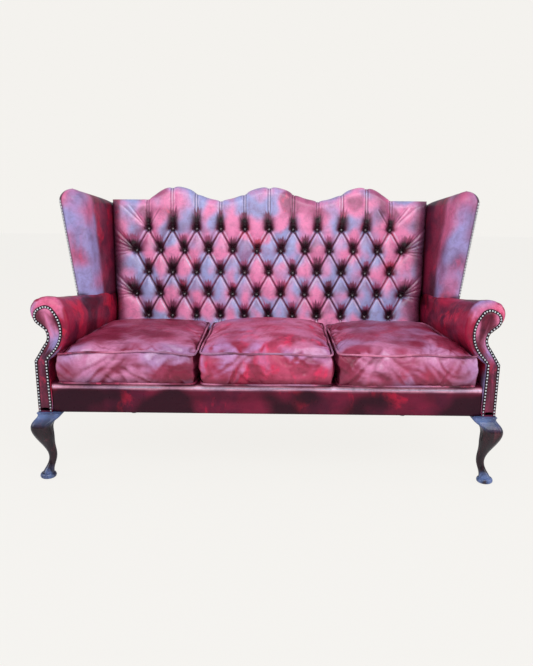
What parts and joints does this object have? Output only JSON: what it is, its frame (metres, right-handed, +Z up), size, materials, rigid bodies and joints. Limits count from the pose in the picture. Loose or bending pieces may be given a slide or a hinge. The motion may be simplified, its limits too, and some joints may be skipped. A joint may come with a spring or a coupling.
{
  "type": "chesterfield sofa",
  "caption": "Three-seat wing-back chesterfield sofa with a deep-buttoned scalloped back, scrolled arms with nailed facings, loose seat cushions and cabriole front legs.",
  "frame": {"origin": "on the floor, under the centre of the whole sofa's box", "axes": "+X to the right as seen from the front, +Y to the back, +Z up"},
  "size_m": [1.7792, 0.87, 1.1124],
  "materials": {
    "oak_frame": "matte",
    "leg_mahogany": "gloss",
    "oxblood_leather": "gloss",
    "facing_leather": "gloss",
    "tufted_leather": "gloss",
    "cushion_leather": "satin",
    "piping_leather": "satin",
    "button_leather": "gloss",
    "nail_metal": "gloss",
    "spring_steel": "satin",
    "hair_stuffing": "matte",
    "cushion_filling": "matte",
    "jute_webbing": "matte",
    "lining_cloth": "matte",
    "glide_steel": "satin"
  },
  "bodies": {
    "frame": {"arm_cover_left": "oxblood_leather", "arm_cover_right": "oxblood_leather", "arm_facing_left": "facing_leather", "arm_facing_right": "facing_leather", "arm_front_post_left": "oak_frame", "arm_front_post_right": "oak_frame", "arm_stuffing_left": "hair_stuffing", "arm_stuffing_right": "hair_stuffing", "arm_top_rails": "oak_frame", "back_buttons": "button_leather", "back_lower_rail": "oak_frame", "back_post_left": "oak_frame", "back_post_right": "oak_frame", "back_stiles": "oak_frame", "back_stuffing": "hair_stuffing", "back_top_rail": "oak_frame", "back_tufted_cover": "tufted_leather", "back_webbing": "jute_webbing", "corner_blocks": "oak_frame", "dust_cover": "lining_cloth", "facing_nails": "nail_metal", "foot_glides": "glide_steel", "front_edge_roll": "hair_stuffing", "front_leg_left": "leg_mahogany", "front_leg_right": "leg_mahogany", "front_rail_cover": "oxblood_leather", "leg_bolts": "spring_steel", "outside_arm_panel_left": "oxblood_leather", "outside_arm_panel_right": "oxblood_leather", "outside_back_panel": "oxblood_leather", "outside_wing_panel_left": "oxblood_leather", "outside_wing_panel_right": "oxblood_leather", "rear_leg_left": "leg_mahogany", "rear_leg_right": "leg_mahogany", "seat_deck_cover": "lining_cloth", "seat_deck_pad": "hair_stuffing", "seat_front_rail": "oak_frame", "seat_hessian": "jute_webbing", "seat_rear_rail": "oak_frame", "seat_side_rail_left": "oak_frame", "seat_side_rail_right": "oak_frame", "seat_springs": "spring_steel", "spring_clips": "spring_steel", "wing_cover_left": "oxblood_leather", "wing_cover_right": "oxblood_leather", "wing_nails": "nail_metal", "wing_posts": "oak_frame", "wing_stuffing_left": "hair_stuffing", "wing_stuffing_right": "hair_stuffing", "wing_top_rails": "oak_frame"},
    "cushion_left": {"cushion_left_cover": "cushion_leather", "cushion_left_filling": "cushion_filling", "cushion_left_piping": "piping_leather"},
    "cushion_centre": {"cushion_centre_cover": "cushion_leather", "cushion_centre_filling": "cushion_filling", "cushion_centre_piping": "piping_leather"},
    "cushion_right": {"cushion_right_cover": "cushion_leather", "cushion_right_filling": "cushion_filling", "cushion_right_piping": "piping_leather"}
  },
  "joints": [
    {"name": "cushion_left_lift_out", "type": "slide", "parent": "frame", "child": "cushion_left", "axis": [0, -1, 0], "range_m": [0, 0.66]},
    {"name": "cushion_centre_lift_out", "type": "slide", "parent": "frame", "child": "cushion_centre", "axis": [0, -1, 0], "range_m": [0, 0.66]},
    {"name": "cushion_right_lift_out", "type": "slide", "parent": "frame", "child": "cushion_right", "axis": [0, -1, 0], "range_m": [0, 0.66]}
  ]
}
